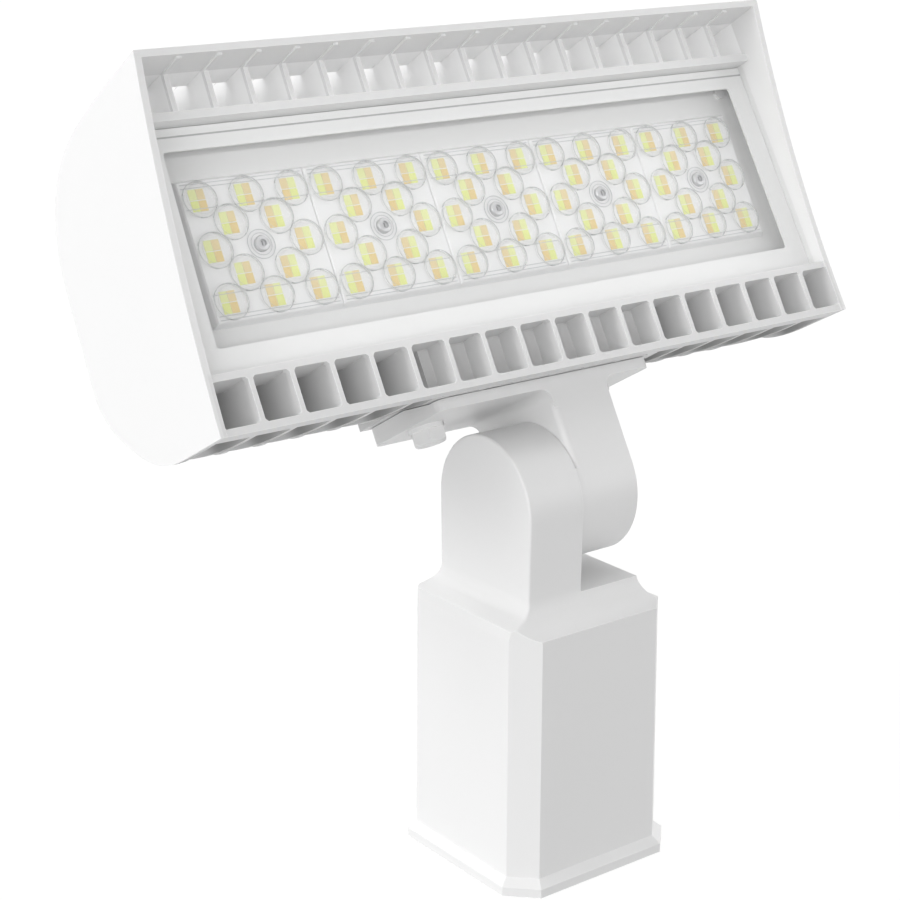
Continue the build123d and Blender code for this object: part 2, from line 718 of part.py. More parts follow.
def set_screws():
    parts = []
    for z in SET_SCREW_Z:
        shank = rod_y(SET_SCREW_R, TENON_R + TENON_GAP + 0.4, FIT_BOTTOM + 2.0, 0, z)
        head = extrude(Plane.XZ * RegularPolygon(SET_SCREW_HEAD / 2, 6, major_radius=False), amount=6.5, dir=(0, 1, 0))
        parts.append(shank + Pos(0, FIT_BOTTOM + 2.0, z) * head)
    return Compound(parts)


def bolt_seat():
    return ARM_OUT + 0.05


def knuckle_bolt():
    seat = bolt_seat() + WASHER_T + SPRING_T
    head = Pos(seat, 0, KNUCKLE_Z) * extrude(
        Plane.YZ * RegularPolygon(BOLT_FLAT / 2, 6, major_radius=False), amount=BOLT_HEAD, dir=(1, 0, 0))
    shank = rod_x(BOLT_R, EAR_IN - BOLT_THREAD_IN + 1, seat, 0, KNUCKLE_Z)
    return head + shank


def knuckle_washer():
    x0 = bolt_seat()
    ring = rod_x(WASHER_R, x0, x0 + WASHER_T, 0, KNUCKLE_Z)
    return ring - rod_x(BOLT_R + 0.2, x0 - 1, x0 + WASHER_T + 1, 0, KNUCKLE_Z)


def spring_washer():
    x0 = bolt_seat() + WASHER_T
    ring = rod_x(SPRING_R, x0, x0 + SPRING_T, 0, KNUCKLE_Z)
    ring -= rod_x(BOLT_R + 0.2, x0 - 1, x0 + SPRING_T + 1, 0, KNUCKLE_Z)
    return ring - box(x0 - 1, x0 + SPRING_T + 1, -0.6, 0.6, KNUCKLE_Z + 5, KNUCKLE_Z + 12)


def save(shape, name):
    export_step(shape, f"parts/{name}.step")


os.makedirs("parts", exist_ok=True)
save(slip_fitter(), "slip_fitter")
save(set_screws(), "set_screws")
save(knuckle_bolt(), "knuckle_bolt")
save(knuckle_washer(), "knuckle_washer")
save(spring_washer(), "spring_washer")
save(arm(), "arm")
save(to_head(gasket()), "flange_gasket")
save(to_head(flange_bolts()), "flange_bolts")
save(to_head(flange_washers()), "flange_washers")
save(to_head(housing()), "housing")
save(to_head(bezel()), "bezel")
save(to_head(glass()), "glass")
save(to_head(seal()), "chamber_seal")
save(to_head(tray()), "lamp_tray")
save(to_head(tray_screws()), "tray_screws")
for i in range(MODULES):
    save(to_head(led_board(i)), f"led_board_{i + 1}")
    save(to_head(lens_plate(i)), f"lens_plate_{i + 1}")
save(to_head(lens_screws()), "lens_screws")
save(to_head(chips(True)), "led_chips_left")
save(to_head(chips(False)), "led_chips_right")
save(to_head(driver()), "driver")
save(to_head(terminal()), "terminal_block")
save(to_head(leads()), "supply_leads")
save(to_head(grommet()), "grommet")
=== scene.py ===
import math

import bmesh
import bpy
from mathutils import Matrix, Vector


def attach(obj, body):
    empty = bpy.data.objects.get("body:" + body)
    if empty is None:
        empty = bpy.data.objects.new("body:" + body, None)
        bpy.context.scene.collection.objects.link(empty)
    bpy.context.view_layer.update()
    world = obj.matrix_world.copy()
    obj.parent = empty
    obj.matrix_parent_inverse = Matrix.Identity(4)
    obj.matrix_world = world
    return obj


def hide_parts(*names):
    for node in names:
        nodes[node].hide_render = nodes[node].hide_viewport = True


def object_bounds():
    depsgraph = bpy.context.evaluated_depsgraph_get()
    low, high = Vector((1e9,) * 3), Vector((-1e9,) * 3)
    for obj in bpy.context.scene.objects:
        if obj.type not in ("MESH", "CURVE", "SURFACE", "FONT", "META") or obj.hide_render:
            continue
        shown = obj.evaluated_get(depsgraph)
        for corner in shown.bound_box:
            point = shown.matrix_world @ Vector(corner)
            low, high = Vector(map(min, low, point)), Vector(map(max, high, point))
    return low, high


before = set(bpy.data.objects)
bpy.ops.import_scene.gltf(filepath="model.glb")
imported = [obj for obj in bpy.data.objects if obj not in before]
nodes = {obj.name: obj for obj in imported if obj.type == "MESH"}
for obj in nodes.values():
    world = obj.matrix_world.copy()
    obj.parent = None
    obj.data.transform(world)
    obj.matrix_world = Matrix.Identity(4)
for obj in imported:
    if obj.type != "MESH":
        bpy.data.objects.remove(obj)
size_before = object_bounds()

MM = 0.001

# Camera of the photograph: place and clipping in metres, turn in degrees, lens and sensor in mm
CAMERA_AT = (-0.54863, -0.65863, 0.45299)
CAMERA_TURN = (72.524, 0.0, -37.221)
CAMERA_LENS = 83.78
CAMERA_SENSOR = 36.0
CAMERA_NEAR = 0.01
CAMERA_FAR = 100.0

# Head axes in mm: x across, w back from the front of the cheeks, u up from the foot of the head
# At rest the head leans back by TILT. The tilt axis is AXIS_Z over the origin, HEAD_W back from
# the front of the cheeks and HEAD_U under the foot of the head.
TILT = math.radians(30.0)
AXIS_Z = 164.1
HEAD_W = 45.5
HEAD_U = 43.2
HEAD_TALL = 148.8
HALF_LOW = 168.3
HALF_TOP = 163.9
CHEEK_T = 3.0
HOOD_T = 2.8

# Levels of the white paint and of its painted shade and light, 0 to 1; the cells' shade is a share of
# PAINT
PAINT = 0.80
# painted shade on the bars and cells under the window
BAR_PAINTED_SHADE = 0.74
# painted light in the open bays over the window
BAY_PAINTED_LIGHT = 0.97
# painted highlight along the edges
EDGE_HIGHLIGHT = 0.97
# painted shade deep inside the cells, as a share of PAINT
CELL_PAINTED_SHADE = 0.45
# grey of the painted shadow line along the frame
FRAME_SHADOW_GREY = 0.50

# Where the painted shade and light fall on the head, with heights U, depths W and sizes in mm
CELL_TOP_U = 24.4
CELL_TOP_SOFT = 1.0
CELL_FRONT_W = 9.0
CELL_DEEP_W = 36.0
CELL_BACK_W = 50.0
BAY_U = 125.6
BAY_FRONT_W = 3.0
BAY_FADE_W = 35.0
BAY_BACK_W = 60.0
FRAME_LINE_U = 121.5
FRAME_LINE_HALF = 0.35

# Painted highlights along rounded edges: radius in mm, share of the highlight, and turn from 0, flat, to
# 1, square
EDGE_R = 0.6
EDGE_SHARE = 0.7
EDGE_TURN_FROM = 0.02
EDGE_TURN_TO = 0.20
EDGE_SAMPLES = 4

# Fine bumps of the paint, with their depth in metres
BUMP_SCALE = 900.0
BUMP_DETAIL = 3.0
BUMP_DEEP = 0.0002

# Window pane
GLASS_IOR = 1.45
GLASS_ROUGH = 0.05
GLASS_MOTTLE = 3.0
GLASS_TINT = ((0.982, 0.983, 0.982), (0.99, 0.991, 0.99))

# Clear lenses: colour to the front, painted shade where they turn away, and how opaque each is
LENS_IOR = 1.49
LENS_ROUGH = 0.12
LENS_MOTTLE = 40.0
LENS_TINT = ((0.93, 0.935, 0.94), (0.97, 0.972, 0.975))
LENS_RIM_SHADE = (0.66, 0.67, 0.69)
LENS_TURN_BLEND = 0.5
LENS_TURN_FROM = 0.45
LENS_TURN_TO = 0.95
LENS_VEIL = 0.10
LENS_EDGE_VEIL = 0.75

# Lens plates, in mm on the head axes
MODULES = 5
MODULE_PITCH = 58.9
MODULE_HALF = 29.35
MODULE_U = 75.3
PLATE_FRONT = 13.4
PLATE_BACK = 15.25
PLATE_EDGE = 0.6
TRAY_FRONT = 16.5
SKIRT = 1.2

# Moulded ridges over and under the middle of a plate
RIDGES_OFF = (27.9, 26.3, 17.6)
RIDGE_HALF = 0.16
RIDGE_SUNK = 0.1
RIDGE_END_IN = 1.5

# Rings of the screw boss, each its radius, its rise over the plate and the radius of its wire
BOSS_RINGS = ((6.1, 0.5, 0.16), (4.6, 0.6, 0.13))

# Lenses: straight wall, whole rise, foot sunk in the plate, and two fine rings with their wires' radii
LENS_PITCH = 21.1
LENS_ROW = 10.55
LENS_R = 7.4
LENS_WALL = 1.3
LENS_RISE = 4.3
LENS_SUNK = 0.3
LENS_SIDES = 40
LENS_STEPS = 8
RING_R = 7.45
RING_WIRE = 0.17
INNER_IN = 1.1
INNER_RISE = 0.95
INNER_WIRE = 0.08
HOOP_SIDES = 6

# Chips under each lens, two across and two up, moved to the left by CHIP_LEFT
CHIP_WIDE = 3.4
CHIP_TALL = 4.4
CHIP_STEP_X = 3.6
CHIP_STEP_U = 4.8
CHIP_T = 0.15
CHIP_LEFT = 0.6

# Screw in each boss: radius and rise over the plate from its rim to the floor of its socket
SCREW_PROFILE = ((3.3, -0.1), (3.3, 1.4), (2.9, 1.9), (2.1, 2.1), (1.5, 2.1), (1.3, 1.2))
SCREW_SIDES = 32

# Dark mark of painted shade on the floor of the screw's socket, with its foot and top over the plate
MARK_HALF_WIDE = 0.3
MARK_HALF_TALL = 1.0
MARK_FOOT = 1.0
MARK_TOP = 1.25

# Turns under this many degrees are shaded smooth
SMOOTH_UNDER = 35.0

# CAD nodes by the finish that they get
NODES_OF = {
    "white": ("slip_fitter", "arm", "flange_bolts", "flange_washers", "tray_screws"),
    "housing": ("housing",),
    "frame": ("bezel",),
    "steel": ("set_screws", "knuckle_bolt", "knuckle_washer", "spring_washer", "lens_screws"),
    "rubber": ("flange_gasket", "grommet", "supply_leads"),
    "seal": ("chamber_seal",),
    "glass": ("glass",),
    "tray": ("lamp_tray",),
    "board": [f"led_board_{i + 1}" for i in range(MODULES)],
    "lens": [f"lens_plate_{i + 1}" for i in range(MODULES)],
    "driver": ("driver",),
    "nylon": ("terminal_block",),
    "yellow": ("led_chips_left",),
    "orange": ("led_chips_right",),
}

# Soft lamps: azimuth from the front towards +X and height in degrees, and level
LAMP_SPREAD = 40.0
LAMPS = {
    "front": (0, 8, 0.08),
    "front_right": (45, 8, 0.22),
    "right": (90, 8, 0.40),
    "back": (180, 8, 0.18),
    "left": (270, 8, 0.36),
    "front_left": (315, 8, 0.31),
    "back_high": (180, 30, 0.30),
    "left_high": (250, 30, 0.25),
    "front_left_high": (290, 30, 0.15),
    "right_top": (60, 58, 0.10),
    "left_top": (240, 58, 0.20),
    "top": (0, 90, 0.15),
}

# Gridded lamp square on to the window, in mm, degrees and watts
WINDOW_LAMP_AWAY = 600.0
WINDOW_LAMP_U = 78.0
WINDOW_LAMP_WIDE = 290.0
WINDOW_LAMP_TALL = 100.0
WINDOW_LAMP_SPREAD = 10.0
WINDOW_LAMP_WATTS = 0.026

# Floor: side and drop under the object in metres, and its levels to lit surfaces and to the eye
FLOOR_SIDE = 40.0
FLOOR_DROP = 0.0005
FLOOR_BOUNCE = 0.55
FLOOR_WHITE = 0.94
FLOOR_SHADOW = 0.10


def grey(level):
    return (level, level, level)


def new_material(name):
    # material with its usual shader
    material = bpy.data.materials.new(name)
    material.use_nodes = True
    graph = material.node_tree
    return material, graph, graph.nodes["Principled BSDF"]


def bare_material(name):
    # material with nothing but an output
    material = bpy.data.materials.new(name)
    material.use_nodes = True
    graph = material.node_tree
    graph.nodes.clear()
    return material, graph, graph.nodes.new("ShaderNodeOutputMaterial")


def noise(graph, scale, detail=2.0):
    # noise that stays with the object as it moves
    place = graph.nodes.new("ShaderNodeTexCoord")
    made = graph.nodes.new("ShaderNodeTexNoise")
    made.inputs["Scale"].default_value = scale
    made.inputs["Detail"].default_value = detail
    graph.links.new(place.outputs["Object"], made.inputs["Vector"])
    return made.outputs["Fac"]


def blend(graph, factor, first, second):
    # colour that runs from first to second, each a socket, a colour or a grey level
    mix = graph.nodes.new("ShaderNodeMix")
    mix.data_type = "RGBA"
    graph.links.new(factor, mix.inputs["Factor"])
    for key, value in (("A", first), ("B", second)):
        if isinstance(value, float):
            value = grey(value)
        if isinstance(value, tuple):
            mix.inputs[key].default_value = (*value, 1)
        else:
            graph.links.new(value, mix.inputs[key])
    return mix.outputs["Result"]


def worked(graph, way, *values):
    # one sum on values that are each a socket or a number
    step = graph.nodes.new("ShaderNodeMath")
    step.operation = way
    for number, value in enumerate(values):
        if isinstance(value, float):
            step.inputs[number].default_value = value
        else:
            graph.links.new(value, step.inputs[number])
    return step.outputs["Value"]


def product(graph, first, *others):
    # the values multiplied together
    for other in others:
        first = worked(graph, "MULTIPLY", first, other)
    return first


def ramp_of(graph, value, start, end, low=0.0, high=1.0, way="SMOOTHSTEP"):
    # low up to start, then rising to high at end
    span = graph.nodes.new("ShaderNodeMapRange")
    span.interpolation_type = way
    span.inputs["From Min"].default_value = start
    span.inputs["From Max"].default_value = end
    span.inputs["To Min"].default_value = low
    span.inputs["To Max"].default_value = high
    graph.links.new(value, span.inputs["Value"])
    return span.outputs["Result"]


def dot_of(graph, first, second):
    # dot product of a socket with a socket or a plain vector
    dot = graph.nodes.new("ShaderNodeVectorMath")
    dot.operation = "DOT_PRODUCT"
    graph.links.new(first, dot.inputs[0])
    if isinstance(second, tuple):
        dot.inputs[1].default_value = second
    else:
        graph.links.new(second, dot.inputs[1])
    return dot.outputs["Value"]


def mixed(graph, factor, first, second):
    # shader that is first where factor is 0 and second where it is 1
    mix = graph.nodes.new("ShaderNodeMixShader")
    graph.links.new(factor, mix.inputs["Fac"])
    graph.links.new(first, mix.inputs[1])
    graph.links.new(second, mix.inputs[2])
    return mix.outputs["Shader"]


def glow(graph, strength):
    # plain white light of its own
    light = graph.nodes.new("ShaderNodeEmission")
    light.inputs["Color"].default_value = (1, 1, 1, 1)
    light.inputs["Strength"].default_value = strength
    return light.outputs["Emission"]


def looked_at(graph):
    # 1 for a ray from the camera, off a shiny surface or through clear material, else 0
    path = graph.nodes.new("ShaderNodeLightPath")
    seen = worked(graph, "MAXIMUM", path.outputs["Is Camera Ray"], path.outputs["Is Glossy Ray"])
    return worked(graph, "MAXIMUM", seen, path.outputs["Is Transmission Ray"])


def tinted(name, colour, vary, scale, rough, metal=0.0, bump=0.0):
    # colour that varies a little over the surface, with fine bumps where bump is given
    material, graph, shader = new_material(name)
    low = tuple(max(0.0, c - vary) for c in colour)
    high = tuple(min(1.0, c + vary) for c in colour)
    graph.links.new(blend(graph, noise(graph, scale), low, high), shader.inputs["Base Color"])
    shader.inputs["Roughness"].default_value = rough
    shader.inputs["Metallic"].default_value = metal
    if bump:
        height = graph.nodes.new("ShaderNodeBump")
        height.inputs["Strength"].default_value = bump
        height.inputs["Distance"].default_value = BUMP_DEEP
        graph.links.new(noise(graph, BUMP_SCALE, BUMP_DETAIL), height.inputs["Height"])
        graph.links.new(height.outputs["Normal"], shader.inputs["Normal"])
    return material


def powder_coat(name):
    # white paint with a fine orange-peel texture
    return tinted(name, grey(PAINT), vary=0.012, scale=6.0, rough=0.42, bump=0.08)


def clear_glass():
    # thin clear pane, mostly see-through, with a faint sheen on the side that a ray enters
    material, graph, out = bare_material("glass")
    through = graph.nodes.new("ShaderNodeBsdfTransparent")
    tint = blend(graph, noise(graph, GLASS_MOTTLE), *GLASS_TINT)
    graph.links.new(tint, through.inputs["Color"])
    shine = graph.nodes.new("ShaderNodeBsdfGlossy")
    shine.inputs["Roughness"].default_value = GLASS_ROUGH
    edge = graph.nodes.new("ShaderNodeFresnel")
    edge.inputs["IOR"].default_value = GLASS_IOR
    side = graph.nodes.new("ShaderNodeNewGeometry")
    front = worked(graph, "SUBTRACT", 1.0, side.outputs["Backfacing"])
    sheen = product(graph, edge.outputs["Fac"], front)
    pane = mixed(graph, sheen, through.outputs["BSDF"], shine.outputs["BSDF"])
    graph.links.new(pane, out.inputs["Surface"])
    return material


def clear_lens():
    # clear moulded acrylic, greyer and more opaque where it turns away; the grey is painted shade towards
    # the rim
    material, graph, shader = new_material("lens_clear")
    turn = graph.nodes.new("ShaderNodeLayerWeight")
    turn.inputs["Blend"].default_value = LENS_TURN_BLEND
    facing = turn.outputs["Facing"]
    away = ramp_of(graph, facing, LENS_TURN_FROM, LENS_TURN_TO, way="LINEAR")
    body = blend(graph, noise(graph, LENS_MOTTLE), *LENS_TINT)
    graph.links.new(blend(graph, away, body, LENS_RIM_SHADE), shader.inputs["Base Color"])
    veil = ramp_of(graph, facing, LENS_TURN_FROM, LENS_TURN_TO, LENS_VEIL, LENS_EDGE_VEIL, "LINEAR")
    graph.links.new(veil, shader.inputs["Alpha"])
    shader.inputs["Roughness"].default_value = LENS_ROUGH
    shader.inputs["IOR"].default_value = LENS_IOR
    return material


def recolour(material, change):
    # passes the material's colour through one more step
    graph = material.node_tree
    shader = graph.nodes["Principled BSDF"]
    was = shader.inputs["Base Color"].links[0].from_socket
    graph.links.new(change(graph, was), shader.inputs["Base Color"])
    return material


def head_place(graph):
    # across x, depth w and height u on the head in mm, in the rest pose
    place = graph.nodes.new("ShaderNodeTexCoord")
    c, d = math.cos(TILT), math.sin(TILT)
    found = []
    for way, base in (((1, 0, 0), 0.0), ((0, c, -d), HEAD_W), ((0, d, c), -HEAD_U)):
        along = dot_of(graph, place.outputs["Object"], tuple(part / MM for part in way))
        found.append(worked(graph, "ADD", along, base - AXIS_Z * way[2]))
    return found


def painted_edge_highlights(graph, colour):
    # painted highlight: the paint turns lighter along rounded edges
    bevel = graph.nodes.new("ShaderNodeBevel")
    bevel.samples = EDGE_SAMPLES
    bevel.inputs["Radius"].default_value = EDGE_R * MM
    flat = graph.nodes.new("ShaderNodeNewGeometry")
    turn = worked(graph, "SUBTRACT", 1.0, dot_of(graph, bevel.outputs["Normal"], flat.outputs["Normal"]))
    share = product(graph, ramp_of(graph, turn, EDGE_TURN_FROM, EDGE_TURN_TO), EDGE_SHARE)
    return blend(graph, share, colour, EDGE_HIGHLIGHT)


def housing_painted_shade_and_light(graph, colour):
    # painted shade on the bars and deep inside the cells under the window, painted light in the open bays
    # over it
    x, w, u = head_place(graph)
    lean = (HALF_LOW - HALF_TOP) / HEAD_TALL
    out = worked(graph, "ADD", worked(graph, "ABSOLUTE", x), product(graph, u, lean))
    between = worked(graph, "LESS_THAN", out, HALF_LOW - CHEEK_T / 2)

    above = ramp_of(graph, u, CELL_TOP_U - CELL_TOP_SOFT, CELL_TOP_U + CELL_TOP_SOFT)
    under = product(graph, worked(graph, "SUBTRACT", 1.0, above), between)
    deep = ramp_of(graph, w, CELL_FRONT_W, CELL_DEEP_W)
    back = ramp_of(graph, w, CELL_DEEP_W, CELL_BACK_W)
    inside = product(graph, under, worked(graph, "SUBTRACT", deep, back))
    # painted shade: the darker bar level under the window, then deeper painted shade inside the cells
    bar_shaded = blend(graph, under, colour, BAR_PAINTED_SHADE)
    shaded = blend(graph, inside, bar_shaded, PAINT * CELL_PAINTED_SHADE)

    # painted light in the open bays over the window, under the hood
    over = worked(graph, "GREATER_THAN", u, BAY_U)
    roofed = worked(graph, "LESS_THAN", u, HEAD_TALL - HOOD_T / 2)
    behind = worked(graph, "GREATER_THAN", w, BAY_FRONT_W)
    lit = worked(graph, "SUBTRACT", behind, ramp_of(graph, w, BAY_FADE_W, BAY_BACK_W))
    return blend(graph, product(graph, over, roofed, lit, between), shaded, BAY_PAINTED_LIGHT)


def frame_shadow_line(graph, colour):
    # painted shadow: one fine grey line along the frame, under the ledge
    height = head_place(graph)[2]
    off = worked(graph, "ABSOLUTE", worked(graph, "SUBTRACT", height, FRAME_LINE_U))
    on = worked(graph, "LESS_THAN", off, FRAME_LINE_HALF)
    return blend(graph, on, colour, FRAME_SHADOW_GREY)


def finishes():
    # the object's materials, by the name of the finish
    chip = {"vary": 0.03, "scale": 300.0, "rough": 0.5}
    return {
        # white: powder coat with painted highlights along its edges
        "white": recolour(powder_coat("white_paint_painted_highlights"), painted_edge_highlights),
        # housing: powder coat with painted shade on the bars and in the cells, painted light in the bays
        # and on edges
        "housing": recolour(recolour(powder_coat("housing_paint_painted_shade_and_light"), housing_painted_shade_and_light), painted_edge_highlights),
        "frame": recolour(tinted("frame_white", grey(0.93), vary=0.01, scale=6.0, rough=0.5), frame_shadow_line),
        "steel": tinted("zinc_steel", (0.62, 0.62, 0.63), vary=0.04, scale=40.0, rough=0.35, metal=0.9),
        "rubber": tinted("black_rubber", grey(0.03), vary=0.008, scale=60.0, rough=0.7),
        "seal": tinted("pale_silicone", grey(0.86), vary=0.01, scale=60.0, rough=0.6),
        "tray": tinted("tray_paint", grey(0.83), vary=0.01, scale=10.0, rough=0.5),
        "board": tinted("board", grey(0.93), vary=0.01, scale=30.0, rough=0.45),
        # grey of the fine rings and ridges: real edges of the clear moulding, drawn darker with painted
        # shade
        "line": tinted("lens_edges_painted_shade", (0.60, 0.61, 0.62), vary=0.03, scale=200.0, rough=0.4),
        "yellow": tinted("chip_yellow", (0.83, 0.87, 0.42), **chip),
        "yellow_low": tinted("chip_yellow_low", (0.81, 0.86, 0.32), **chip),
        "orange": tinted("chip_orange", (0.82, 0.68, 0.38), **chip),
        "orange_low": tinted("chip_orange_low", (0.82, 0.64, 0.29), **chip),
        "driver": tinted("driver_case", (0.05, 0.05, 0.055), vary=0.01, scale=20.0, rough=0.5),
        "nylon": tinted("nylon", (0.80, 0.80, 0.78), vary=0.02, scale=60.0, rough=0.5),
        "screw": tinted("screw_steel", (0.55, 0.55, 0.56), vary=0.04, scale=60.0, rough=0.35, metal=0.4),
        "socket": tinted("screw_socket_painted_shade", (0.22, 0.22, 0.23), vary=0.03, scale=60.0, rough=0.5),
        "plate": tinted("lens_plate_white", (0.88, 0.88, 0.885), vary=0.01, scale=30.0, rough=0.3),
        "glass": clear_glass(),
        "lens": clear_lens(),
    }


def paint_nodes(finish):
    # gives each CAD node its material in place of the one that it came with
    for key, names in NODES_OF.items():
        for name in names:
            slots = nodes[name].data.materials
            slots.clear()
            slots.append(finish[key])


def from_head(x, w, u):
    # head axes in mm to the world in metres
    y = w - HEAD_W
    z = u + HEAD_U
    c, d = math.cos(TILT), math.sin(TILT)
    return (x * MM, (y * c + z * d) * MM, (z * c - y * d + AXIS_Z) * MM)


def mesh_piece(name, points, faces, materials):
    # piece that moves with the head, from points on the head axes and faces with their material slots
    mesh = bpy.data.meshes.new(name)
    mesh.from_pydata([from_head(*p) for p in points], [], [f[0] for f in faces])
    for material in materials:
        mesh.materials.append(material)
    for face, polygon in zip(faces, mesh.polygons):
        polygon.material_index = face[1]
        polygon.use_smooth = True
    fixed = bmesh.new()
    fixed.from_mesh(mesh)
    bmesh.ops.recalc_face_normals(fixed, faces=fixed.faces)
    fixed.to_mesh(mesh)
    fixed.free()
    mesh.set_sharp_from_angle(angle=math.radians(SMOOTH_UNDER))
    made = bpy.data.objects.new(name, mesh)
    bpy.context.scene.collection.objects.link(made)
    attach(made, "head")
    return made


def turned(points, faces, x, u, profile, sides, slot):
    # a turned form: profile holds (radius, depth) pairs from its rim to its middle
    start = len(points)
    for r, w in profile:
        for k in range(sides):
            a = 2 * math.pi * k / sides
            points.append((x + r * math.cos(a), w, u + r * math.sin(a)))
    for row in range(len(profile) - 1):
        for k in range(sides):
            a = start + row * sides + k
            b = start + row * sides + (k + 1) % sides
            faces.append(((a, b, b + sides, a + sides), slot))
    last = start + (len(profile) - 1) * sides
    faces.append((tuple(range(last, last + sides)), slot))


def hoop(points, faces, x, u, r, w, wire, slot):
    # a fine ring lying in the plane of the plate, with wire as the radius of its wire
    start = len(points)
    for k in range(LENS_SIDES):
        a = 2 * math.pi * k / LENS_SIDES
        for j in range(HOOP_SIDES):
            b = 2 * math.pi * j / HOOP_SIDES
            far = r + wire * math.cos(b)
            points.append((x + far * math.cos(a), w + wire * math.sin(b), u + far * math.sin(a)))
    for k in range(LENS_SIDES):
        here = start + k * HOOP_SIDES
        there = start + ((k + 1) % LENS_SIDES) * HOOP_SIDES
        for j in range(HOOP_SIDES):
            n = (j + 1) % HOOP_SIDES
            faces.append(((here + j, here + n, there + n, there + j), slot))


def block(points, faces, x0, x1, w0, w1, u0, u1, slot):
    # a square-cut block between two corners
    start = len(points)
    for x in (x0, x1):
        for w in (w0, w1):
            for u in (u0, u1):
                points.append((x, w, u))
    for f in ((0, 1, 3, 2), (4, 6, 7, 5), (0, 4, 5, 1), (2, 3, 7, 6), (0, 2, 6, 4), (1, 5, 7, 3)):
        faces.append((tuple(start + k for k in f), slot))


def cushion(points, faces, x0, x1, w0, w1, u0, u1, edge, slot):
    # a block with its front edges cut at a slope
    block(points, faces, x0, x1, w0 + edge, w1, u0, u1, slot)
    start = len(points)
    for inset, w in ((0.0, w0 + edge), (edge, w0)):
        left, right = x0 + inset, x1 - inset
        low, high = u0 + inset, u1 - inset
        for x, u in ((left, low), (right, low), (right, high), (left, high)):
            points.append((x, w, u))
    for k in range(4):
        n = (k + 1) % 4
        faces.append(((start + k, start + n, start + 4 + n, start + 4 + k), slot))
    faces.append((tuple(start + 4 + k for k in range(4)), slot))


def skirts(points, faces, x0, x1, u0, u1, ends, slot):
    # sloped foot from the plate's rim down to the tray, along its long sides and at the outer ends
    rim, foot = PLATE_FRONT + PLATE_EDGE, TRAY_FRONT
    left, right = x0 - SKIRT * ends[0], x1 + SKIRT * ends[1]
    for u, far in ((u0, u0 - SKIRT), (u1, u1 + SKIRT)):
        start = len(points)
        points.extend([(x0, rim, u), (x1, rim, u), (right, foot, far), (left, foot, far)])
        faces.append(((start, start + 1, start + 2, start + 3), slot))
    for x, far, used in ((x0, left, ends[0]), (x1, right, ends[1])):
        if used:
            start = len(points)
            points.extend([(x, rim, u0), (x, rim, u1), (far, foot, u1 + SKIRT), (far, foot, u0 - SKIRT)])
            faces.append(((start, start + 1, start + 2, start + 3), slot))


def module_x(i):
    # middle of a module across the head
    return (i - (MODULES - 1) / 2) * MODULE_PITCH


def lens_places():
    # offset across, height, row and column of the twelve lenses of a module
    rows = ((2, (-1, 0, 1)), (1, (-0.5, 0.5)), (0, (-1, 1)), (-1, (-0.5, 0.5)), (-2, (-1, 0, 1)))
    return [(k * LENS_PITCH, MODULE_U + row * LENS_ROW, row, k) for row, places in rows for k in places]


def dome_profile():
    # straight foot, then a cap of a ball that ends half a step short of its top
    rise = LENS_RISE - LENS_WALL
    ball = (LENS_R ** 2 + rise ** 2) / (2 * rise)
    half = math.asin(LENS_R / ball)
    profile = [(LENS_R, PLATE_FRONT + LENS_SUNK), (LENS_R, PLATE_FRONT - LENS_WALL)]
    for step in range(1, LENS_STEPS + 1):
        a = half * (1 - step / (LENS_STEPS + 0.5))
        low = ball * math.cos(a) - ball * math.cos(half)
        profile.append((ball * math.sin(a), PLATE_FRONT - LENS_WALL - low))
    return profile


def lens_modules(finish):
    # moulded plate with twelve clear round lenses, fine ridges and a ringed screw boss
    # the grey of the rings and ridges is painted shade along real edges of the clear moulding
    materials = [finish["lens"], finish["line"], finish["plate"]]
    clear, line, plate = range(len(materials))
    profile = dome_profile()
    shoulder = PLATE_FRONT - LENS_WALL
    half = MODULE_HALF
    low, high = MODULE_U - half, MODULE_U + half
    for i in range(MODULES):
        x0 = module_x(i)
        points, faces = [], []
        cushion(points, faces, x0 - half, x0 + half, PLATE_FRONT, PLATE_BACK, low, high, PLATE_EDGE, plate)
        skirts(points, faces, x0 - half, x0 + half, low, high, (i == 0, i == MODULES - 1), plate)
        for dx, u, _row, _k in lens_places():
            x = x0 + dx
            turned(points, faces, x, u, profile, LENS_SIDES, clear)
            hoop(points, faces, x, u, RING_R, shoulder, RING_WIRE, line)
            hoop(points, faces, x, u, LENS_R - INNER_IN, shoulder - INNER_RISE, INNER_WIRE, line)
        for side in (-1, 1):
            for off in RIDGES_OFF:
                u = MODULE_U + side * off
                block(points, faces, x0 - half + RIDGE_END_IN, x0 + half - RIDGE_END_IN,
                      PLATE_FRONT - RIDGE_HALF, PLATE_FRONT + RIDGE_SUNK,
                      u - RIDGE_HALF, u + RIDGE_HALF, line)
        for r, rise, wire in BOSS_RINGS:
            hoop(points, faces, x0, MODULE_U, r, PLATE_FRONT - rise, wire, line)
        made = mesh_piece(f"lens_module_{i + 1}", points, faces, materials)
        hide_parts(f"lens_plate_{i + 1}")


